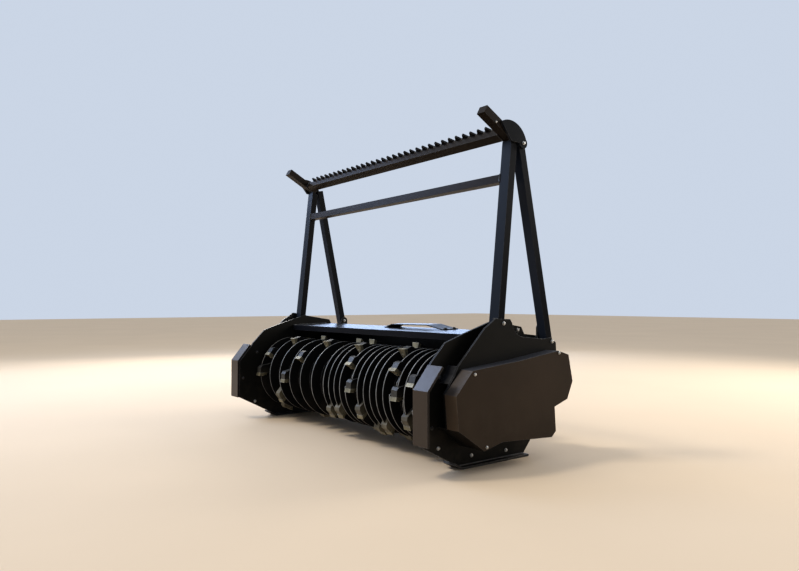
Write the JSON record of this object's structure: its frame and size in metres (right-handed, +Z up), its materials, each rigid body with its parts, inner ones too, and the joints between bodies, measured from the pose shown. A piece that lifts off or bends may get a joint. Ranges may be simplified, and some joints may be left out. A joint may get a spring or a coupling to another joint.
{
  "type": "skid steer forestry mulcher",
  "caption": "Loader attachment that shreds brush and small trees: a wide toothed drum in an open-fronted housing on skids, with a belt drive at one end and a push bar above.",
  "frame": {"origin": "bottom centre of the bounding box, on the floor under the skids", "axes": "X along the drum, +X the end with the belt cover; -Y the working front with the open drum, +Y the loader side; Z up"},
  "size_m": [2.048, 0.905, 1.6591],
  "materials": {
    "black_paint": "satin black paint",
    "worn_paint": "black paint rubbed towards bare steel",
    "drum_paint": "satin black paint, worn bright on its edges",
    "tooth_steel": "bare hardened steel",
    "bare_steel": "turned steel",
    "motor_casting": "black painted casting"
  },
  "bodies": {
    "machine": {"attach_flange": "black_paint", "attach_lip": "black_paint", "attach_plate": "black_paint", "attach_ribs": "black_paint", "bearing_cap": "black_paint", "bearing_housing_left": "black_paint", "bearing_housing_right": "black_paint", "belt_cover": "black_paint", "counter_blade": "worn_paint", "cross_tube": "black_paint", "end_guard_left": "black_paint", "end_guard_right": "black_paint", "front_leg_left": "black_paint", "front_leg_right": "black_paint", "gusset_left": "black_paint", "gusset_right": "black_paint", "hood": "black_paint", "horn_left": "black_paint", "horn_right": "black_paint", "hose_cover": "black_paint", "hydraulic_motor": "motor_casting", "lower_beam": "black_paint", "motor_ports": "motor_casting", "outer_plate_left": "black_paint", "outer_plate_right": "black_paint", "rear_brace_left": "black_paint", "rear_brace_right": "black_paint", "rear_wall": "black_paint", "side_plate_left": "black_paint", "side_plate_right": "black_paint", "skid_left": "worn_paint", "skid_right": "worn_paint", "spacer_frame_left": "black_paint", "spacer_frame_right": "black_paint", "toothed_strip": "black_paint", "top_beam": "black_paint"},
    "drum": {"drum_tube": "drum_paint", "shaft_end_left": "bare_steel", "shaft_end_right": "bare_steel", "drum_rings": "drum_paint", "tooth_holders": "drum_paint", "teeth": "tooth_steel"}
  },
  "joints": [
    {"name": "drum_spin", "type": "hinge", "parent": "machine", "child": "drum", "pos_m": [-0.022, -0.0875, 0.29], "axis": [1, 0, 0], "continuous": true}
  ]
}
